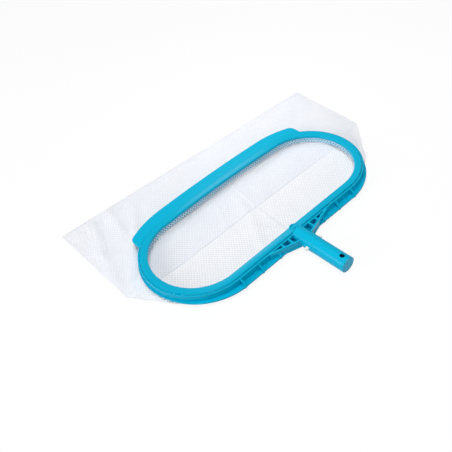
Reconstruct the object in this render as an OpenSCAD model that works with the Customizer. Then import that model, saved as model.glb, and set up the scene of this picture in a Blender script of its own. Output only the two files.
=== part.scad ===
// Leaf skimmer net head: a long oval ring frame with a scoop blade and a
// tube that takes a telescopic pole, a shallow mesh bag, and a ring that
// snaps into the frame and traps the bag's mouth.
//
// Origin: on the tube's axis, at its outer end. +Y runs from the tube to the
// blade, +X along the long side of the ring, +Z up out of the bag's mouth.

/* [Ring opening] */
// Length of the opening along X
opening_length = 441; // [380:1:500]
// Radius of the opening's two round ends
end_r = 84; // [76:0.5:92]
// How far the blade side of the opening bows out
bow = 4; // [2:0.5:6]

/* [Frame] */
// Height of the frame from its foot to the top of the snap ring
frame_h = 17.2; // [16.4:0.1:20]
// Thickness of the frame's walls and floor
frame_wall = 2; // [1.6:0.1:2.4]
// Width of the channel that the snap ring sits in
channel_w = 9.9; // [9:0.1:12]
// How far the frame's inner wall stands back from the opening
inner_step = 2; // [1.8:0.1:2.6]
// Drop from the top of the snap ring to the frame's rim
rim_drop = 2.2; // [1.5:0.1:3]
// Width of the lip round the rim
lip_w = 0.5; // [0.3:0.1:1]
// Height of the lip round the rim
lip_h = 2.4; // [1:0.1:3]
// Foot flange's width past the rim on the tube side
flange_near = 10.5; // [6:0.1:12]
// Foot flange's width past the rim at the ends
flange_end = 2.4; // [0.2:0.1:3]
// Thickness of the foot flange
flange_t = 3; // [2:0.1:4]
// Angle round each end in which the flange narrows
flange_sweep = 75; // [50:5:85]
// How fast it narrows there: 1 is evenly, 2 is mostly at the start
flange_fall = 1.4; // [1:0.1:2]

/* [Ribs] */
// Thickness of the ribs
rib_t = 3; // [2:0.1:4]
// Distance of the first gusset rib from the tube's axis
gusset_first = 53.5; // [46:0.5:60]
// Distance from one gusset rib to the next
gusset_pitch = 40.3; // [30:0.1:42]
// Number of gusset ribs on each side of the tube
gusset_count = 3; // [1:1:3]
// How far the gussets stand past the flange's edge
gusset_proud = 1; // [0.5:0.1:4]
// Distance from the tube's axis to where each truss wall meets the rim
truss_x = 70; // [55:1:85]
// Truss wall's distance from the rim beside the tube
truss_out = 16; // [12:0.1:20]
// Distance of the first cross rib from the tube's axis
cross_first = 25; // [20:1:28]
// Distance from one cross rib to the next
cross_pitch = 16; // [10:0.5:18]

/* [Blade] */
// Reach of the blade past the opening, at its middle
blade_reach = 36; // [28:0.5:46]
// Thickness of the blade
blade_t = 3; // [2:0.1:4]
// Distance by which the blade's ends stop short of the opening's ends
blade_short = 20; // [12:1:30]
// Length of the blade's shoulders, from the middle arc to the ends
shoulder_l = 76; // [60:1:90]
// Radius of the flat middle arc
blade_mid_r = 2700; // [2000:50:3600]
// Radius of the shoulder arcs
shoulder_r = 182; // [160:1:200]
// Radius of the blade's two corners
corner_r = 12; // [8:0.5:16]

/* [Tube] */
// Outer diameter of the tube
tube_d = 28; // [26:0.1:30]
// Bore of the tube
tube_bore = 23; // [22:0.1:24]
// Length from the plug's face to the rim
tube_l = 105.3; // [100:0.1:130]
// Height of the snap ring's top over the tube's axis
axis_drop = 9.75; // [9:0.05:10.5]
// Extra diameter of the seat round the buttons
seat_extra = 0.4; // [0.35:0.05:0.6]
// Distance from the seat's edge to the button holes
seat_margin = 3.6; // [2:0.1:6]
// Thickness of the wall that closes the tube at the ring
tube_back = 3; // [2:0.1:5]
// Diameter of the drain hole
drain_d = 8.8; // [6:0.1:9]
// Drain hole's distance from the tube's outer end
drain_y = 11.7; // [11.7:0.1:14]

/* [Plug] */
// Diameter of the plug's face
plug_d = 27.8; // [24.5:0.1:27.9]
// Thickness of the plug's face
plug_t = 2; // [1.5:0.1:2.5]
// Length of the plug's spigot
spigot_l = 5; // [3:0.1:5.1]
// Wall of the plug's spigot
spigot_wall = 2; // [1.2:0.1:3]

/* [Spring clip] */
// Diameter of the two locking buttons
button_d = 6.5; // [5.5:0.1:7.5]
// How far the buttons stand out of the tube
button_proud = 5.5; // [4:0.1:6]
// Height of the buttons' domed tips
dome_h = 1.8; // [1:0.1:2.4]
// Buttons' distance from the tube's outer end
button_y = 71; // [66:0.5:80]
// Diameter of the collar behind each button
collar_d = 9; // [8.5:0.1:10]
// Thickness of that collar
collar_t = 1.2; // [0.8:0.1:1.6]
// Thickness of the clip's strip
strip_t = 1.2; // [0.8:0.1:1.6]
// Width of the clip's strip
strip_w = 8; // [6:0.5:10]
// Length of the clip from its bend to the buttons
clip_l = 48; // [40:1:50]
// Outer radius of the clip's bend
bend_r = 3; // [2.5:0.1:4]
// Length of each leg's straight pad
leg_pad = 14; // [12:0.5:18]

/* [Snap ring] */
// Thickness of the snap ring's top
cover_t = 2.2; // [1.6:0.1:3]
// Width of the step along the top's edges
edge_step = 0.6; // [0.3:0.1:1]
// Drop from the top to the lid that hides the mesh's cut edge
lid_drop = 1.2; // [0.8:0.1:1.4]
// Depth of the skirt that lines the opening
skirt_inner = 7; // [5:0.1:8]
// Thickness of the two skirts in the channel
skirt_t = 1.8; // [1.4:0.1:2.2]
// Radius of the round snap boss beside the tube
boss_r = 8.5; // [8:0.1:9.5]
// Distance from the opening's edge to the boss's centre
boss_in = 6; // [5:0.1:6.5]
// Radius of the dish in the boss
dish_r = 6.2; // [4:0.1:6.5]
// Depth of the dish
dish_depth = 1.1; // [0.5:0.1:1.4]
// Radius of the hub in the middle of the dish
hub_r = 2.6; // [1.5:0.1:3]
// How far the hub's top lies under the ring's top
hub_drop = 0.3; // [0.1:0.1:0.4]

/* [Net bag] */
// Thickness of one layer of mesh
mesh_t = 0.8; // [0.6:0.1:0.9]
// How far the far panel folds back past the ring's middle line
fold_y = 7; // [0:1:20]
// Width of the fold's edge and of the bag's closed sides
side_w = 3; // [2:0.5:5]
// Width of the hem along the bag's bottom edge
hem_w = 10; // [6:0.5:16]
// How far the bag lies out past the opening's left end
drape_left = 52; // [40:1:70]
// How far the bag lies out past the opening's right end
drape_right = 89; // [60:1:110]
// How far the hem's left corner lies past the tube side's end circle
drape_far_left = 143; // [120:1:160]
// How far the hem's right corner lies past it
drape_far_right = 111; // [90:1:130]
// How far in from the opening's ends the bag's sides meet the mouth
tuck_x = 31; // [24:1:40]
// How far up from the opening's tube side they meet it
tuck_y = 14; // [8:1:20]
// How far up that side the bag's left side turns outward
turn_left = 32; // [26:1:40]
// How far up it the right side turns outward
turn_right = 25; // [20:1:32]
// How far out past the opening's right end that turn lies
turn_out = 10; // [4:1:16]
// Bag's two near corners' distance past the ring's middle line
corner_y = 24; // [16:1:30]
// How much narrower the hem is than the near corners, at the left
hem_in = 3; // [0:1:8]
// How much wider it is at the right
hem_out = 12; // [6:1:18]
// How far up the plan the near panel's mouth hangs down to the ground
near_drop = 31; // [20:1:40]
// Height of the tube's underside over the ground the bag lies on
ground_gap = 0; // [0:0.1:1]

/* [Clearances] */
// Gap between the mesh and the parts that trap it
mesh_gap = 0.3; // [0.25:0.05:0.4]
// Running clearance round each button, on the radius
button_gap = 0.08; // [0.04:0.01:0.1]
// Clearance round the plug's spigot, on the radius
plug_gap = 0.05; // [0.02:0.01:0.1]
// Gap between the clip's legs and the button collars
clip_gap = 0.2; // [0.1:0.05:0.3]

/* [Hidden] */

blue = [0.0, 0.62, 0.76];
ring_blue = [0.0, 0.69, 0.82];
mesh_white = [0.93, 0.95, 0.97];
nylon_white = [0.95, 0.95, 0.94];
merge = 0.5;

// the ring: its ends' centres and the bowed side's arc, tangent to the ends
end_x = opening_length / 2 - end_r;
bow_r = end_r + (end_x * end_x + bow * bow) / (2 * bow);
bow_cy = -(end_x * end_x - bow * bow) / (2 * bow);
far_h = 2 * end_r;
far_k = 1 - far_h / bow_cy;

// distances outward from the opening's edge
wall_out = inner_step + frame_wall;
web_in = wall_out + channel_w;
rim_u = web_in + frame_wall;
mesh_space = mesh_t + 2 * mesh_gap;
cover_u = web_in - mesh_space;
lock_u = wall_out + mesh_space;
flange_near_u = rim_u + flange_near;
flange_end_u = rim_u + flange_end;

// heights from the top of the snap ring
foot_z = -frame_h;
floor_z = foot_z + frame_wall;
rim_z = -rim_drop;
over_z = -skirt_inner - mesh_gap;
inner_wall_z = over_z - mesh_t - mesh_gap;
lock_z = floor_z + mesh_space;
ground_z = -axis_drop - tube_d / 2 - ground_gap;
top_layer_z = foot_z - mesh_gap - mesh_t;
mouth_top_z = min(rim_z, -cover_t) - mesh_gap;
mid_layer_z = ground_z + 3 * mesh_t;

// the ring's centre, and the lines of its tube side
ring_y = tube_l + end_r + web_in;
near_rim_y = -end_r - rim_u;
near_edge_y = -end_r - flange_near_u;
function truss_y(x) = near_rim_y - truss_out * (truss_x - x) / (truss_x - tube_d / 2);

// everything on the ring is drawn from its centre, at the snap ring's top
module at_ring() {
    translate([0, ring_y, axis_drop]) children();
}

// outline of the opening, moved outward by u
module outline(u) {
    for (s = [-1, 1]) translate([s * end_x, 0]) circle(r = end_r + u, $fn = 180);
    translate([-end_x, -end_r - u]) square([2 * end_x, end_r + u]);
    intersection() {
        translate([0, bow_cy]) circle(r = bow_r + u, $fn = 720);
        polygon([[-end_x, 0], [end_x, 0], [end_x * far_k, far_h], [-end_x * far_k, far_h]]);
    }
}

// wall that runs all round the ring, from u1 to u2 and from z1 up to z2
module band(u1, u2, z1, z2) {
    translate([0, 0, z1]) linear_extrude(z2 - z1) difference() {
        outline(u2);
        outline(u1);
    }
}

// straight wall between two points of the plan, from the foot to the rim
module wall_between(a, b) {
    d = b - a;
    translate([a[0], a[1], foot_z]) rotate([0, 0, atan2(d[1], d[0])])
        translate([0, -rib_t / 2, 0]) cube([norm(d), rib_t, rim_z - foot_z]);
}

// foot flange: wide on the tube side, narrowing round the ends
function flange_r(t) = end_r + flange_end_u
    + (flange_near_u - flange_end_u) * pow(1 - t / flange_sweep, flange_fall);
function flange_pt(s, t) = [s * (end_x + flange_r(t) * sin(t)), -flange_r(t) * cos(t)];
module flange_plan() {
    outline(flange_end_u);
    polygon(concat([[-end_x, 0]],
                   [for (t = [flange_sweep:-5:0]) flange_pt(-1, t)],
                   [for (t = [0:5:flange_sweep]) flange_pt(1, t)],
                   [[end_x, 0]]));
    side = cross_first + cross_pitch;
    polygon([[-side, near_edge_y], [-tube_d / 2, near_rim_y - truss_out - rib_t],
             [tube_d / 2, near_rim_y - truss_out - rib_t], [side, near_edge_y]]);
}

// gusset on the flange: full height at the rim, running out at the edge
module gusset(x) {
    web_y = near_rim_y + merge;
    tip_y = near_edge_y - gusset_proud;
    tip_z = foot_z + flange_t + 1;
    translate([x - rib_t / 2, 0, 0]) rotate([90, 0, 90]) linear_extrude(rib_t)
        polygon([[web_y, foot_z], [tip_y, foot_z], [tip_y, tip_z], [web_y, rim_z]]);
}

// blade outline: a flat middle arc, two shoulder arcs and two round corners,
// each tangent to the next
blade_half = opening_length / 2 - blade_short;
blade_mid = blade_half - shoulder_l;
mid_cy = end_r + bow + blade_reach - blade_mid_r;
mid_angle = asin(blade_mid / blade_mid_r);
shoulder_cx = (blade_mid_r - shoulder_r) * sin(mid_angle);
shoulder_cy = mid_cy + (blade_mid_r - shoulder_r) * cos(mid_angle);
corner_cx = blade_half - corner_r;
corner_angle = asin((corner_cx - shoulder_cx) / (shoulder_r - corner_r));
corner_cy = shoulder_cy + (shoulder_r - corner_r) * cos(corner_angle);

// points of an arc that starts at angle a from +Y and ends before angle b
function arc(cx, cy, r, a, b, n) =
    [for (i = [0:n - 1]) let (t = a + (b - a) * i / n) [cx + r * sin(t), cy + r * cos(t)]];
blade_right = concat(
    arc(0, mid_cy, blade_mid_r, 0, mid_angle, 6),
    arc(shoulder_cx, shoulder_cy, shoulder_r, mid_angle, corner_angle, 10),
    arc(corner_cx, corner_cy, corner_r, corner_angle, 90, 8),
    [[blade_half, corner_cy], [blade_half, end_r / 2]]);
module blade_plan() {
    left = [for (i = [len(blade_right) - 1:-1:1]) [-blade_right[i][0], blade_right[i][1]]];
    difference() {
        polygon(concat(blade_right, left));
        outline(rim_u - merge);
    }
}

// tube that the pole slides over, with its slightly larger button seat
module tube_body() {
    seat_y = button_y - button_d / 2 - seat_margin;
    rotate([-90, 0, 0]) {
        translate([0, 0, plug_t]) cylinder(d = tube_d, h = tube_l - plug_t, $fn = 96);
        translate([0, 0, seat_y])
            cylinder(d = tube_d + seat_extra, h = tube_l - seat_y, $fn = 96);
    }
}

// blue moulding: channel, rim, foot flange, ribs, blade and tube in one piece
module main_frame() {
    color(blue) difference() {
        union() {
            at_ring() {
                band(inner_step, wall_out, foot_z, inner_wall_z);
                band(inner_step, rim_u, foot_z, floor_z);
                band(web_in, rim_u, foot_z, rim_z);
                band(rim_u - merge, rim_u + lip_w, rim_z - lip_h, rim_z);
                translate([0, 0, foot_z]) linear_extrude(flange_t) difference() {
                    flange_plan();
                    outline(rim_u - merge);
                }
                translate([0, 0, rim_z - blade_t]) linear_extrude(blade_t) blade_plan();
                for (s = [-1, 1]) {
                    for (i = [0:gusset_count - 1]) gusset(s * (gusset_first + i * gusset_pitch));
                    wall_between([s * tube_d / 4, truss_y(tube_d / 4)],
                                 [s * truss_x, truss_y(truss_x)]);
                    for (x = [cross_first, cross_first + cross_pitch])
                        wall_between([s * x, near_rim_y + merge], [s * x, truss_y(x)]);
                }
            }
            tube_body();
        }
        rotate([-90, 0, 0]) cylinder(d = tube_bore, h = tube_l - tube_back, $fn = 96);
        for (s = [-1, 1]) translate([0, button_y, 0]) rotate([0, s * 90, 0])
            cylinder(d = button_d + 2 * button_gap, h = tube_d, $fn = 48);
        translate([0, drain_y, 0]) cylinder(d = drain_d, h = tube_d, $fn = 48);
    }
}

// blue ring that snaps into the channel over the bag's mouth
module snap_ring() {
    boss_y = -end_r - boss_in;
    color(ring_blue) at_ring() difference() {
        union() {
            band(0, cover_u, -cover_t, -edge_step);
            band(edge_step, cover_u - edge_step, -cover_t, 0);
            band(0, inner_step, -skirt_inner, -edge_step);
            band(cover_u - merge, web_in - mesh_gap, -cover_t, -lid_drop);
            band(lock_u, lock_u + skirt_t, lock_z, -cover_t / 2);
            band(cover_u - skirt_t, cover_u, lock_z, -edge_step);
            intersection() {
                translate([0, boss_y, -skirt_inner])
                    cylinder(r = boss_r, h = skirt_inner, $fn = 72);
                translate([0, 0, -skirt_inner]) linear_extrude(skirt_inner)
                    outline(cover_u - edge_step);
            }
        }
        translate([0, boss_y, -dish_depth]) difference() {
            cylinder(r = dish_r, h = dish_depth + 1, $fn = 60);
            translate([0, 0, -1]) cylinder(r = hub_r, h = 1 + dish_depth - hub_drop, $fn = 36);
        }
    }
}

// the bag's outline as it lies on the ground, seen from above
left_x = -opening_length / 2;
right_x = opening_length / 2;
bag_points = [[left_x + tuck_x, tuck_y - end_r], [left_x, turn_left - end_r],
              [left_x - drape_left, corner_y],
              [left_x - drape_left + hem_in, end_r + drape_far_left],
              [right_x + drape_right + hem_out, end_r + drape_far_right],
              [right_x + drape_right, corner_y], [right_x + turn_out, turn_right - end_r],
              [right_x - tuck_x, tuck_y - end_r]];
mouth_in = inner_step - mesh_gap - mesh_t;
mouth_out = inner_step - mesh_gap;

module bag_plan() {
    polygon(bag_points);
    outline(mouth_out);
}

// one flat layer of the bag, from y1 to y2, standing h high on z
module layer(z, h, y1, y2) {
    translate([0, 0, z]) linear_extrude(h) intersection() {
        bag_plan();
        translate([-opening_length, y1]) square([2 * opening_length, y2 - y1]);
    }
}

// closed edge of the bag along one side of its outline, w wide
module edge(i, w) {
    a = bag_points[i];
    d = bag_points[i + 1] - a;
    translate([a[0], a[1]]) rotate([0, 0, atan2(d[1], d[0])])
        translate([-1, -w]) square([norm(d) + 2, w + 1]);
}

// mesh bag: a mouth trapped in the channel, a near panel on the ground, and a
// far panel that folds back under the opening and runs out to the hem
module net_bag() {
    far_y = end_r + bow + mouth_out + side_w;
    mid_top = mid_layer_z + mesh_t;
    top = top_layer_z + mesh_t;
    color(mesh_white) at_ring() {
        band(cover_u + mesh_gap, cover_u + mesh_gap + mesh_t, floor_z + mesh_gap, mouth_top_z);
        band(wall_out + mesh_gap, cover_u + mesh_gap + mesh_t, floor_z + mesh_gap,
             floor_z + mesh_gap + mesh_t);
        band(wall_out + mesh_gap, wall_out + mesh_gap + mesh_t, floor_z + mesh_gap, over_z);
        band(mouth_in, wall_out + mesh_gap + mesh_t, over_z - mesh_t, over_z);
        band(mouth_in, mouth_out, top_layer_z, over_z);
        layer(ground_z, mesh_t, -2 * end_r, 4 * end_r);
        layer(mid_layer_z, mesh_t, fold_y, 4 * end_r);
        layer(top_layer_z, mesh_t, fold_y, far_y);
        layer(mid_layer_z, top - mid_layer_z, fold_y, fold_y + side_w);
        translate([0, 0, top_layer_z]) linear_extrude(mesh_t) difference() {
            intersection() {
                bag_plan();
                translate([-opening_length, -2 * end_r])
                    square([2 * opening_length, 2 * end_r + fold_y + side_w]);
            }
            outline(mouth_in);
        }
        translate([0, 0, ground_z]) linear_extrude(top - ground_z) intersection() {
            difference() {
                outline(mouth_out);
                outline(mouth_in);
            }
            translate([-opening_length, -2 * end_r])
                square([2 * opening_length, end_r + near_drop]);
        }
        translate([0, 0, ground_z]) linear_extrude(top - ground_z) intersection() {
            polygon(bag_points);
            for (i = [0, 1, 5, 6]) edge(i, side_w);
        }
        translate([0, 0, ground_z]) linear_extrude(mid_top - ground_z) intersection() {
            polygon(bag_points);
            union() {
                edge(3, hem_w);
                for (i = [2, 4]) edge(i, side_w);
            }
        }
    }
}

// plug that closes the tube's outer end
module end_plug() {
    spigot_d = tube_bore - 2 * plug_gap;
    color(blue) rotate([-90, 0, 0]) {
        cylinder(d = plug_d, h = plug_t, $fn = 96);
        difference() {
            cylinder(d = spigot_d, h = plug_t + spigot_l, $fn = 96);
            translate([0, 0, plug_t])
                cylinder(d = spigot_d - 2 * spigot_wall, h = spigot_l + 1, $fn = 72);
        }
    }
}

// the collars' outer faces rest inside the bore, and the legs behind them
collar_x = sqrt(pow(tube_bore / 2, 2) - pow(collar_d / 2, 2)) - clip_gap;
leg_x = collar_x - collar_t - clip_gap;

// V-shaped strip: a round bend and two legs that push the buttons out
bend_y = button_y - clip_l;
pad_y = button_y - leg_pad / 2;
function strip_side(x, r) = concat(
    [[x, pad_y + leg_pad], [x, pad_y]],
    [for (a = [0:-15:-180]) [r * cos(a), bend_y + r * sin(a)]],
    [[-x, pad_y], [-x, pad_y + leg_pad]]);
module spring_clip() {
    outside = strip_side(leg_x, bend_r);
    inside = strip_side(leg_x - strip_t, bend_r - strip_t);
    color(nylon_white) translate([0, 0, -strip_w / 2]) linear_extrude(strip_w)
        polygon(concat(outside, [for (i = [len(inside) - 1:-1:0]) inside[i]]));
}

// locking button: a collar inside the bore and a domed pin through the wall
module button(s) {
    tip_x = tube_d / 2 + button_proud;
    dome_r = (pow(button_d / 2, 2) + dome_h * dome_h) / (2 * dome_h);
    color(nylon_white) translate([0, button_y, 0]) rotate([0, s * 90, 0]) {
        translate([0, 0, collar_x - collar_t]) cylinder(d = collar_d, h = collar_t, $fn = 60);
        intersection() {
            translate([0, 0, collar_x - collar_t])
                cylinder(d = button_d, h = tip_x - collar_x + collar_t, $fn = 60);
            union() {
                translate([0, 0, tip_x - dome_r]) sphere(r = dome_r, $fn = 60);
                cylinder(d = button_d + 1, h = tip_x - dome_h, $fn = 60);
            }
        }
    }
}
module button_left() { button(-1); }
module button_right() { button(1); }

main_frame();
snap_ring();
net_bag();
end_plug();
spring_clip();
button_left();
button_right();
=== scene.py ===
import math

import bpy
from mathutils import Matrix, Vector, noise


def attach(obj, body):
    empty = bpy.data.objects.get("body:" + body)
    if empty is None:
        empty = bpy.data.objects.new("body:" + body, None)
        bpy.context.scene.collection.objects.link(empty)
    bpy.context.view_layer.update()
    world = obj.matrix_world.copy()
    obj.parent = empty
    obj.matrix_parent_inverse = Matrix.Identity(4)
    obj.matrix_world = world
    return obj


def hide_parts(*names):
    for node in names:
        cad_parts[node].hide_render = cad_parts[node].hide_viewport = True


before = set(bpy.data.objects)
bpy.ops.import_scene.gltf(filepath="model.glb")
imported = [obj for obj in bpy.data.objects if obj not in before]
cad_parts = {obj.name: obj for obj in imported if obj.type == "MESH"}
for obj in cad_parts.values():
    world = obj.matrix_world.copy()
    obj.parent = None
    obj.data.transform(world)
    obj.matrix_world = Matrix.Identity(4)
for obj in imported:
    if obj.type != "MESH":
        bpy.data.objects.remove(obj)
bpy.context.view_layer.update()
bpy.ops.object.select_all(action="DESELECT")

# ---------------------------------------------------------------------------
# Camera: stands to the left on the tube's side, looks down at about 45 degrees
# and leans a little, so that the ring runs from lower left to upper right.
eye = Vector((-0.4918, -0.3742, 0.72625))
azimuth, elevation, lean = (math.radians(a) for a in (-36.064, 45.143, -9.916))
ahead = Vector((-math.sin(azimuth) * math.cos(elevation),
                math.cos(azimuth) * math.cos(elevation), -math.sin(elevation)))
right = Vector((math.cos(azimuth), math.sin(azimuth), 0))
above = right.cross(ahead)
image_x = math.cos(lean) * right + math.sin(lean) * above
image_y = math.cos(lean) * above - math.sin(lean) * right
bpy.ops.object.camera_add(location=eye)
camera = bpy.context.object
camera.name = "studio_camera"
turn = Matrix((image_x, image_y, -ahead)).transposed().to_4x4()
camera.matrix_world = Matrix.Translation(eye) @ turn
camera.data.sensor_width = 36
camera.data.lens = 47.58
camera.data.clip_end = 20
bpy.context.scene.camera = camera
bpy.context.scene.view_settings.view_transform = "Standard"

# ---------------------------------------------------------------------------
# Floor: a pale table top that the tube, the frame's foot and the bag lie on.
# The camera sees it almost white, and it keeps the object's soft shadow.


class Socket:
    """One output of a shader node, with + - * written as Math nodes."""

    def __init__(self, tree, link):
        self.tree, self.link = tree, link

    def beside(self, output):
        """Another output of the same node."""
        return Socket(self.tree, self.link.node.outputs[output])

    def maths(self, operation, *values):
        return node(self.tree, "ShaderNodeMath", {"operation": operation},
                    dict(enumerate((self,) + values)))

    def __add__(self, other):
        return self.maths("ADD", other)

    def __sub__(self, other):
        return self.maths("SUBTRACT", other)

    def __mul__(self, other):
        return self.maths("MULTIPLY", other)

    def __rsub__(self, other):
        return node(self.tree, "ShaderNodeMath", {"operation": "SUBTRACT"}, {0: other, 1: self})

    __radd__, __rmul__ = __add__, __mul__


def node(tree, kind, settings, inputs, output=0):
    """Adds one shader node: its settings first, then its sockets' values or links."""
    made = tree.nodes.new(kind)
    for name, value in settings.items():
        setattr(made, name, value)
    for name, value in inputs.items():
        if isinstance(value, Socket):
            tree.links.new(value.link, made.inputs[name])
        else:
            made.inputs[name].default_value = value
    return Socket(tree, made.outputs[output])


def colour_mix(tree, factor, first, second):
    """Mix of two colours: a Mix node takes them at 6 and 7 and gives the result at 2."""
    return node(tree, "ShaderNodeMix", {"data_type": "RGBA"}, {0: factor, 6: first, 7: second}, 2)


def empty_tree(owner):
    """The nodes of a material or the world, with the default ones cleared away."""
    owner.use_nodes = True
    owner.node_tree.nodes.clear()
    return owner.node_tree


def new_material(name):
    made = bpy.data.materials.new(name)
    return made, empty_tree(made)


def finish_tree(tree, shader, kind="ShaderNodeOutputMaterial"):
    out = tree.nodes.new(kind)
    tree.links.new(shader.link, out.inputs["Surface"])


table_height = -0.0143                     # 0.1 mm under the part's lowest point
bpy.ops.mesh.primitive_plane_add(size=6, location=(0, 0.2, table_height))
floor = bpy.context.object
floor.name = "table_top"
bpy.ops.object.transform_apply(location=True, rotation=False, scale=False)
table, tree = new_material("pale_table")
direct = node(tree, "ShaderNodeLightPath", {}, {}, "Is Camera Ray")
mirrored = direct.beside("Is Glossy Ray")
grain = node(tree, "ShaderNodeTexNoise", {}, {"Scale": 3.0, "Detail": 2.0})
pale = colour_mix(tree, grain, (0.585, 0.605, 0.635, 1), (0.625, 0.645, 0.675, 1))
pale = colour_mix(tree, direct, pale, (1, 1, 1, 1))
matt = node(tree, "ShaderNodeBsdfDiffuse", {}, {"Color": pale})
seen_white = node(tree, "ShaderNodeEmission", {}, {"Color": (1, 1, 1, 1), "Strength": 1.0})
white_share = 0.9                          # the rest is the lit table, with its shadows
finish_tree(tree, node(tree, "ShaderNodeMixShader", {},
                       {0: (direct + mirrored) * white_share, 1: matt, 2: seen_white}))
floor.data.materials.append(table)

# ---------------------------------------------------------------------------
# Studio: a weak even sky, a soft lamp overhead, a weak one in front, a tall one
# on the left, and a small one that draws a sheen along the ring's far side.
world = bpy.data.worlds.new("studio_sky")
bpy.context.scene.world = world
tree = empty_tree(world)
direct = node(tree, "ShaderNodeLightPath", {}, {}, "Is Camera Ray")
mirror_share = 0.4                         # how much of the white a reflection shows
shown = direct.maths("MAXIMUM", direct.beside("Is Glossy Ray") * mirror_share).maths(
    "MAXIMUM", direct.beside("Is Transmission Ray"))
sky = node(tree, "ShaderNodeBackground", {}, {"Color": (0.97, 0.985, 1, 1), "Strength": 0.25})
white = node(tree, "ShaderNodeBackground", {}, {"Color": (1, 1, 1, 1), "Strength": 1.0})
finish_tree(tree, node(tree, "ShaderNodeMixShader", {}, {0: shown, 1: sky, 2: white}),
            "ShaderNodeOutputWorld")

for name, place, aim, wide, tall, watts in (
        ("overhead_lamp", (-0.15, 0.1, 1.96), (0, 0.2, 0), 1.15, 1.15, 21.8),
        ("front_lamp", (-0.7, -2.0, 0.8), (0, 0.2, 0), 1.2, 1.2, 7.5),
        ("left_lamp", (-2.8, 0.9, 1.18), (0, 0.2, 0), 1.1, 2.2, 44),
        ("sheen_lamp", (0.21, 0.513, 0.345), (0.21, 0.29, 0.01), 0.30, 0.07, 0.38)):
    bpy.ops.object.light_add(type="AREA", location=place)
    lamp = bpy.context.object
    lamp.name = name
    lamp.data.shape = "ELLIPSE"
    lamp.data.size, lamp.data.size_y = wide, tall
    lamp.data.energy = watts
    lamp.rotation_euler = (Vector(aim) - Vector(place)).to_track_quat("-Z", "Y").to_euler()

# ---------------------------------------------------------------------------
# Main frame: one blue polypropylene moulding. The ring's channel, the foot
# flange with its ribs, the scoop blade and the pole tube come from one mould.


def moulded_plastic(name, deep, light, rough):
    """Satin moulded plastic: a faint drift of colour, a fine even skin."""
    made, tree = new_material(name)
    place = node(tree, "ShaderNodeTexCoord", {}, {}, "Object")
    drift = node(tree, "ShaderNodeTexNoise", {}, {"Vector": place, "Scale": 14.0, "Detail": 3.0})
    skin = node(tree, "ShaderNodeTexNoise", {}, {"Vector": place, "Scale": 900.0, "Detail": 2.0})
    colour = colour_mix(tree, drift, (*deep, 1), (*light, 1))
    edges = node(tree, "ShaderNodeBevel", {"samples": 6}, {"Radius": 0.0005})
    bump = node(tree, "ShaderNodeBump", {}, {"Height": skin, "Strength": 0.05, "Distance": 0.0002,
                                             "Normal": edges})
    shader = node(tree, "ShaderNodeBsdfPrincipled", {}, {
        "Base Color": colour, "Roughness": skin * 0.08 + (rough - 0.04),
        "Normal": bump, "Specular IOR Level": 0.12})
    finish_tree(tree, shader)
    return made


def paint(piece, material):
    """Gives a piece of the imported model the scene's own material."""
    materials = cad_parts[piece].data.materials
    materials.clear()
    materials.append(material)


frame_blue = moulded_plastic("frame_blue", (0.0, 0.43, 0.65), (0.0, 0.46, 0.69), 0.23)
paint("main_frame", frame_blue)

# ---------------------------------------------------------------------------
# End plug: a plain disc of the same plastic, pressed into the tube's outer end
# to close it.
paint("end_plug", frame_blue)

# ---------------------------------------------------------------------------
# Snap ring: a second blue moulding, pressed into the channel over the bag's
# mouth. Its top falls a little towards the opening, and its edges are rounded.
ring_at = Vector((0, 203.2, 9.75))         # ring's centre at the snap ring's top, mm
end_x, end_r, bow = 136.5, 84.0, 4.0       # the opening: end circles and bowed side
bow_r = end_r + (end_x ** 2 + bow ** 2) / (2 * bow)
bow_y = -(end_x ** 2 - bow ** 2) / (2 * bow)
bow_angle = math.asin(end_x / (bow_r - end_r))
ring_section = [                           # distance out, height, corner radius
    (0, -1.0, 0.9), (0, -7.0, 0.7), (2, -7.0, 0.5), (2, -2.9, 0), (5.4, -2.9, 0), (5.4, -13.8, 0.5),
    (7.2, -13.8, 0.5), (7.2, -2.2, 0), (10.7, -2.2, 0), (10.7, -13.8, 0.5), (12.5, -13.8, 0.5),
    (12.5, -2.8, 0), (13.3, -2.8, 0), (13.3, -1.9, 0.3), (12.5, -1.7, 0.2), (12.4, 0, 0.5)]


def rounded(corners, steps=4):
    """Closed outline with each corner rounded to its own radius."""
    points = []
    for i, (x, z, r) in enumerate(corners):
        here = Vector((x, z))
        if not r:
            points.append(here)
            continue
        before = (Vector(corners[i - 1][:2]) - here).normalized()
        after = (Vector(corners[(i + 1) % len(corners)][:2]) - here).normalized()
        half = before.angle(after) / 2
        middle = here + (before + after).normalized() * (r / math.sin(half))
        first, last = here + before * (r / math.tan(half)), here + after * (r / math.tan(half))
        for k in range(steps + 1):
            points.append(middle + (first.lerp(last, k / steps) - middle).normalized() * r)
    return points


def metres(point):
    """Point of the frame in metres from one in millimetres from the ring's centre."""
    return (Vector(point) + ring_at) / 1000


def add_outline(name, points, closed=True):
    """New object of edges through ring points in mm, selected in edit mode."""
    mesh = bpy.data.meshes.new(name)
    count = len(points)
    edges = [(i, (i + 1) % count) for i in range(count if closed else count - 1)]
    mesh.from_pydata([metres(p) for p in points], edges, [])
    made = bpy.data.objects.new(name, mesh)
    bpy.context.scene.collection.objects.link(made)
    bpy.ops.object.select_all(action="DESELECT")
    bpy.context.view_layer.objects.active = made
    made.select_set(True)
    bpy.ops.object.mode_set(mode="EDIT")
    bpy.ops.mesh.select_all(action="SELECT")
    return made


weld = 0.00002                             # m: points closer than this become one


def close_mesh():
    """Merges the start and end of a sweep and turns its faces outwards."""
    bpy.ops.mesh.select_all(action="SELECT")
    bpy.ops.mesh.remove_doubles(threshold=weld)
    bpy.ops.mesh.normals_make_consistent(inside=False)
    bpy.ops.object.mode_set(mode="OBJECT")


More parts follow.
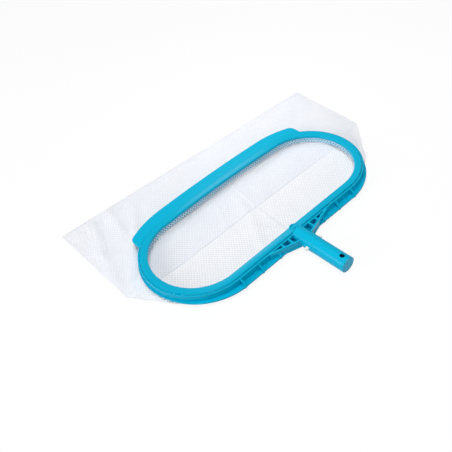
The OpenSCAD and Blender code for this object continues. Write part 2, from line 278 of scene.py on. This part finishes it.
ring = add_outline("snap_ring_body", [(-end_x, -end_r - p.x, p.y) for p in rounded(ring_section)])
bpy.ops.mesh.extrude_edges_move(TRANSFORM_OT_translate={"value": (2 * end_x / 1000, 0, 0)})
for centre, turn, steps in (((end_x, 0), math.pi - bow_angle, 84), ((0, bow_y), 2 * bow_angle, 36),
                            ((-end_x, 0), math.pi - bow_angle, 84)):
    bpy.ops.mesh.spin(steps=steps, angle=-turn, center=metres((*centre, 0)), axis=(0, 0, 1))
close_mesh()

# the round snap boss where the tube meets the ring: dished, with a hub in its
# middle, and cut straight on the tube's side
boss_at, boss_cut = Vector((0, -90, 0)), Vector((0, -95.9, 0))
boss_section = [(0, -0.3, 0), (2.6, -0.3, 0.3), (2.6, -1.3, 0.3), (6.2, -1.3, 0.4), (6.4, 0, 0.4),
                (8.5, 0, 0.6), (8.5, -6.9, 0.3), (0, -6.9, 0)]
cutter_r, around = 0.0084, 72              # the hole is 0.1 mm less in radius than the boss
bpy.ops.mesh.primitive_cylinder_add(vertices=around, radius=cutter_r, depth=0.04,
                                    location=metres(boss_at))
cutter = bpy.context.object
bpy.ops.object.select_all(action="DESELECT")
bpy.context.view_layer.objects.active = ring
ring.select_set(True)
hole = ring.modifiers.new("boss_hole", "BOOLEAN")
hole.object, hole.solver = cutter, "EXACT"
bpy.ops.object.modifier_apply(modifier=hole.name)
bpy.data.objects.remove(cutter)
add_outline("snap_boss", [boss_at + Vector((p.x, 0, p.y)) for p in rounded(boss_section)],
            closed=False)
bpy.ops.mesh.spin(steps=around, angle=2 * math.pi, center=metres(boss_at), axis=(0, 0, 1))
bpy.ops.mesh.select_all(action="SELECT")
fine = 0.000001                            # m: a coarser cut doubles some of its small faces
bpy.ops.mesh.bisect(plane_co=metres(boss_cut), plane_no=(0, -1, 0),
                    clear_outer=True, use_fill=True, threshold=fine)
close_mesh()
ring.select_set(True)
bpy.context.view_layer.objects.active = ring
bpy.ops.object.join()
bpy.ops.object.shade_smooth_by_angle(angle=math.radians(40))
ring_blue = moulded_plastic("ring_blue", (0.0, 0.405, 0.615), (0.0, 0.435, 0.655), 0.22)
ring.data.materials.append(ring_blue)
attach(ring, "head")
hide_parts("snap_ring")

# ---------------------------------------------------------------------------
# Locking buttons and their spring clip: white moulded nylon. The clip is a V
# inside the tube that pushes the buttons out through its two cross holes.
nylon = moulded_plastic("clip_nylon", (0.86, 0.86, 0.83), (0.92, 0.92, 0.9), 0.45)
for name in ("button_left", "button_right", "spring_clip"):
    paint(name, nylon)

# ---------------------------------------------------------------------------
# Net bag: two panels of white knitted polyester mesh, closed at the sides and
# the hem. Its mouth is trapped in the frame's channel, the near panel lies on
# the ground, and the far panel folds back under the opening and out again.
ground = -23.75                            # 0.3 mm over the table, in mm from the ring's top
seam_angle = math.radians(42)              # left side seam's place on the mouth, past the end
columns, mouth_rows, panel_rows, hem_rows = 200, 10, 20, 70
rows = mouth_rows + panel_rows + 1 + hem_rows


def mouth_point(half, share, out):
    """Point of the opening's edge moved outward, a share of the way from the
    bag's left side seam to the right end, along the tube side (-1) or the
    blade side (1)."""
    quarter = end_r * math.pi / 2
    if half < 0:
        straight = 2 * end_x
    else:
        quarter = end_r * (math.pi / 2 - bow_angle)
        straight = 2 * bow_r * bow_angle
    start = -half * end_r * seam_angle
    along = share * (2 * quarter + straight + start) - start
    if along < quarter:
        turn = along / end_r
        return (-end_x - (end_r + out) * math.cos(turn), half * (end_r + out) * math.sin(turn))
    if along > quarter + straight:
        turn = (2 * quarter + straight - along) / end_r
        return (end_x + (end_r + out) * math.cos(turn), half * (end_r + out) * math.sin(turn))
    if half < 0:
        return (along - quarter - end_x, -end_r - out)
    turn = (along - quarter) / bow_r - bow_angle
    return ((bow_r + out) * math.sin(turn), bow_y + (bow_r + out) * math.cos(turn))


def along_points(points, share):
    """Smooth path through (share, x, y) points."""
    for i in range(len(points) - 1):
        if share <= points[i + 1][0] or i == len(points) - 2:
            a, b = points[i], points[i + 1]
            before = points[i - 1] if i else a
            after = points[i + 2] if i + 2 < len(points) else b
            t = (share - a[0]) / (b[0] - a[0])
            width = b[0] - a[0]
            placed = []
            for k in (1, 2):
                slope_a = (b[k] - before[k]) / (b[0] - before[0]) * width
                slope_b = (after[k] - a[k]) / (after[0] - a[0]) * width
                placed.append((2 * t ** 3 - 3 * t ** 2 + 1) * a[k] + (t ** 3 - 2 * t ** 2 + t) * slope_a
                              + (3 * t ** 2 - 2 * t ** 3) * b[k] + (t ** 3 - t ** 2) * slope_b)
            return placed


def bump_along(x, y, a, b, width, height):
    """Soft ridge or valley along the line from a to b."""
    ax, ay, bx, by = *a, *b
    length = (bx - ax) ** 2 + (by - ay) ** 2
    t = max(0, min(1, ((x - ax) * (bx - ax) + (y - ay) * (by - ay)) / length))
    off = math.hypot(x - ax - t * (bx - ax), y - ay - t * (by - ay))
    return height * math.exp(-(off / width) ** 2)


def ripple(x, y, seed):
    """Slow noise from about 0 to 1 over the ground, another one for each seed."""
    return 0.5 + 0.5 * noise.noise(Vector((x / 70, y / 55, seed)))


# share, x and y of the line on which each panel comes down to the ground: the
# near one below the mouth's edge, the far one at its fold under the opening
near_edge = [(0, -273, 24), (0.06, -265, 11), (0.12, -254, -5), (0.18, -241, -24), (0.25, -221, -52),
             (0.29, -190, -72), (0.34, -132, -83.4), (0.55, 0, -83.6), (0.77, 132, -83.4),
             (0.815, 190, -72), (0.85, 231, -59), (0.9, 259, -30), (0.955, 288, 0), (1, 310, 24)]
fold_edge = [(0, -273, 24), (0.03, -240, 14), (0.08, -207, 9), (0.3, -105, 8), (0.5, 6, 8),
             (0.75, 130, 8), (0.92, 219, 7), (0.97, 262, 14), (1, 310, 24)]


def hem_point(share):
    """The hem is a straight line on the ground, beyond the blade."""
    return (-270 + 592 * share, 227 - 32 * share)


def on_ground(x, y):
    """Height of the cloth that lies on the ground: it ripples a little."""
    z = ground + 0.4 + 1.3 * ripple(x, y, 3.1)
    for a, b, width, height in (
            ((-40, -20), (10, -75), 9, 1.9), ((-15, 2), (-48, -60), 10, 2.0),
            ((-63, 6), (-61, -17), 4, 1.1), ((-143, 177), (-172, 132), 9, 1.5),
            ((-172, 132), (-209, 85), 9, 1.7), ((-215, 203), (-248, 127), 10, 1.8),
            ((-248, 127), (-267, 47), 10, 1.7)):
        z += bump_along(x, y, a, b, width, height)
    return z


def upper_cloth(x, y):
    """Height of the far panel's lower run over the near panel."""
    z = on_ground(x, y) + 0.6 + 0.9 * ripple(x, y, 8.4)
    z += bump_along(x, y, (-196, 100), (-262, 30), 6, 2.0)
    z += bump_along(x, y, (-190, 150), (-178, 215), 10, 2.0)
    z -= bump_along(x, y, (-214, 120), (-208, 205), 12, 0.7)
    z += bump_along(x, y, (22, 130), (23, 215), 2.4, 0.7)
    return z


def eased(t):
    """Smooth step from 0 to 1."""
    t = max(0, min(1, t))
    return t * t * (3 - 2 * t)


def bag_point(half, share, row):
    """Point of the bag in ring millimetres, from the mouth's edge (row 0) down to the hem."""
    # the far panel slopes inward under the opening, apart from its two ends
    slope = eased(min(share - 0.02, 0.97 - share) / 0.08) if half > 0 else 0
    mouth = [                              # distance out, height
        (13.6, -3.0), (13.2, -4.4), (13.2, -14.2), (9.0, -14.5), (4.8, -14.2), (4.7, -7.9),
        (1.3, -7.7), (1.25 - 0.3 * slope, -10.2 + 1.0 * slope),
        (1.25 - 1.1 * slope, -12.7 + 1.8 * slope), (1.25 - 2.2 * slope, -15.2 + 2.6 * slope),
        (1.3 - 3.6 * slope, -17.4 + 3.2 * slope)]
    if row <= mouth_rows:
        out, z = mouth[row]
        if row == 0:                       # the cut edge sticks out of the groove unevenly
            z += 2.2 * noise.noise(Vector((share * 60, half * 5, 0.5)))
        return (*mouth_point(half, share, out), z)
    start, row = mouth[mouth_rows], row - mouth_rows
    top = mouth_point(half, share, start[0])
    edge = along_points(near_edge if half < 0 else fold_edge, share)
    side = eased(min(share, 1 - share) / 0.03)
    low = on_ground(*edge)
    if half > 0:
        low = upper_cloth(*edge) * side + low * (1 - side)
    fold = 1.7                             # how far apart the far panel's two runs lie there
    hang = low + (fold * side if half > 0 else 0)
    if row <= panel_rows:
        t = (row / panel_rows) ** (1 + slope)
        x, y = top[0] + (edge[0] - top[0]) * t, top[1] + (edge[1] - top[1]) * t
        run = math.hypot(edge[0] - top[0], edge[1] - top[1]) * t
        lift = (1 - eased(t)) * (1 - slope) + math.exp(-run / 7.5) * (1 - t) * slope
        z = hang + (start[1] - 0.2 - hang) * lift
        if half > 0:
            inside = math.sin(math.pi * t) * side
            z += inside * (0.9 * ripple(x, y, 5.5) - 0.8)
            z += inside * bump_along(x, y, (18, 78), (8, 12), 2.4, 0.8)
        return x, y, z
    if row == panel_rows + 1:
        push = 0.7 * side
        return edge[0], edge[1] - push, (low + hang) / 2
    t = (row - panel_rows - 1) / hem_rows
    hem = hem_point(share)
    x, y = edge[0] + (hem[0] - edge[0]) * t, edge[1] + (hem[1] - edge[1]) * t
    z = on_ground(x, y)
    if half < 0:
        z += bump_along(x, y, (8, 6), (1, -70), 2.2, 0.9)
    else:
        z += (upper_cloth(x, y) - z) * side * eased((1 - t) / 0.02)
        z += 0.8 * eased((t - 0.93) / 0.015) * eased((1 - t) / 0.01)
    return x, y, z


def tightness(half, column, row, at):
    """How densely the cloth is knitted: about 2 at the side seam, the hem and the
    narrow strip down its middle, 0 on the panels, and about -1 where it is
    stretched over the frame's wall."""
    if row <= mouth_rows + 5:
        return -1.2 * eased(row - 5) * eased((17 - row) / 4)
    x, y = at.x * 1000, at.y * 1000 - ring_at.y
    if column <= 1 or rows - row <= 4:
        return 2
    if half < 0:
        return min(2.4, bump_along(x, y, (8, 6), (1, -70), 2.6, 3.2))
    return min(1.8, bump_along(x, y, (23, 190), (8, 10), 2.4, 2.2))


trapped_row = 0.0019                       # length of cloth between two rows in the channel, m
tilt, shift_x, shift_y = 0.03, 0.0017, 0.0011  # the near panel's knit against the far one's
for half, name in ((-1, "near_panel"), (1, "far_panel")):
    bpy.ops.mesh.primitive_grid_add(x_subdivisions=columns, y_subdivisions=rows, size=1)
    panel = bpy.context.object
    panel.name = name
    mesh = panel.data
    pattern = mesh.uv_layers[0]
    steps = [(round((v.co.x + 0.5) * columns), round((v.co.y + 0.5) * rows)) for v in mesh.vertices]
    for vertex, (column, row) in zip(mesh.vertices, steps):
        vertex.co = metres(bag_point(half, column / columns, row))
    tight = mesh.attributes.new("tight", "FLOAT", "POINT")
    for value, vertex, (column, row) in zip(tight.data, mesh.vertices, steps):
        value.value = tightness(half, column, row, vertex.co)
    mouth_length = 0.54 - 0.06 * half      # length of this panel's trapped edge, m
    for face in mesh.polygons:
        trapped = all(steps[v][1] <= mouth_rows for v in face.vertices)
        for corner, v in zip(face.loop_indices, face.vertices):
            column, row = steps[v]
            at = mesh.vertices[v].co
            if trapped:
                pattern.data[corner].uv = (column / columns * mouth_length, -trapped_row * row)
            elif half < 0:
                pattern.data[corner].uv = (at.x + tilt * at.y + shift_x, at.y - tilt * at.x + shift_y)
            else:
                pattern.data[corner].uv = (at.x, at.y)
    if half > 0:
        bpy.ops.object.mode_set(mode="EDIT")
        bpy.ops.mesh.select_all(action="SELECT")
        bpy.ops.mesh.flip_normals()
        bpy.ops.object.mode_set(mode="OBJECT")
bpy.data.objects["near_panel"].select_set(True)
bpy.ops.object.join()
net = bpy.context.object
net.name = "net_mesh"
bpy.ops.object.mode_set(mode="EDIT")
bpy.ops.mesh.select_all(action="SELECT")
bpy.ops.mesh.remove_doubles(threshold=weld)
bpy.ops.object.mode_set(mode="OBJECT")
bpy.ops.object.shade_smooth_by_angle(angle=math.radians(50))


def knitted_mesh(name, wide, tall, yarn, thread):
    """Open knit: zigzag yarns that meet in staggered diamonds, read from the cloth's own map."""
    made, tree = new_material(name)
    place = node(tree, "ShaderNodeUVMap", {}, {}, "UV")
    wander = node(tree, "ShaderNodeTexNoise", {}, {"Vector": place, "Scale": 90.0, "Detail": 1.0}, 1)
    moved = node(tree, "ShaderNodeVectorMath", {"operation": "MULTIPLY_ADD"},
                 {0: wander, 1: (0.0007, 0.0007, 0), 2: place})
    scaled = node(tree, "ShaderNodeMapping", {}, {"Vector": moved, "Scale": (1 / wide, 1 / tall, 1)})
    across = node(tree, "ShaderNodeSeparateXYZ", {}, {0: scaled}, "X")
    along = across.beside("Y")
    u, v = across.maths("PINGPONG", 0.5), along.maths("PINGPONG", 0.5)
    off = (u + v - 0.5).maths("ABSOLUTE")
    knot = (u - 0.25).maths("ABSOLUTE") + (v - 0.25).maths("ABSOLUTE")
    tight = node(tree, "ShaderNodeAttribute", {"attribute_name": "tight"}, {}, 2)
    # yarns are thicker where they meet, and where the cloth is dense
    off = off - (0.5 - knot) * 0.10 - tight * 0.08
    solid = node(tree, "ShaderNodeMapRange", {"interpolation_type": "SMOOTHSTEP"},
                 {0: off, 1: yarn + 0.03, 2: yarn - 0.06, 3: 0.0, 4: 1.0})
    round_yarn = node(tree, "ShaderNodeMapRange", {}, {0: off, 1: yarn, 2: 0.0, 3: 0.0, 4: 1.0})
    filament = node(tree, "ShaderNodeTexNoise", {}, {"Vector": place, "Scale": 2600.0, "Detail": 2.0})
    drift = node(tree, "ShaderNodeTexNoise", {}, {"Vector": place, "Scale": 30.0, "Detail": 2.0})
    colour = colour_mix(tree, drift, (*thread, 1), (*(min(1, c * 1.05) for c in thread), 1))
    bump = node(tree, "ShaderNodeBump", {}, {"Height": round_yarn + filament * 0.5, "Strength": 0.4,
                                             "Distance": 0.0004})
    cloth = node(tree, "ShaderNodeBsdfPrincipled", {}, {
        "Base Color": colour, "Roughness": filament * 0.1 + 0.6, "Normal": bump,
        "Specular IOR Level": 0.2, "Sheen Weight": 0.15})
    # the thin white yarn lets a good part of the light through to what lies under it
    through = node(tree, "ShaderNodeLightPath", {}, {}, "Is Shadow Ray") * 0.8
    hole = node(tree, "ShaderNodeBsdfTransparent", {}, {})
    finish_tree(tree, node(tree, "ShaderNodeMixShader", {},
                           {0: solid * (1 - through), 1: hole, 2: cloth}))
    return made


net.data.materials.append(knitted_mesh("white_knit", 0.0058, 0.0070, 0.21, (0.80, 0.814, 0.855)))
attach(net, "head")
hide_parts("net_bag")
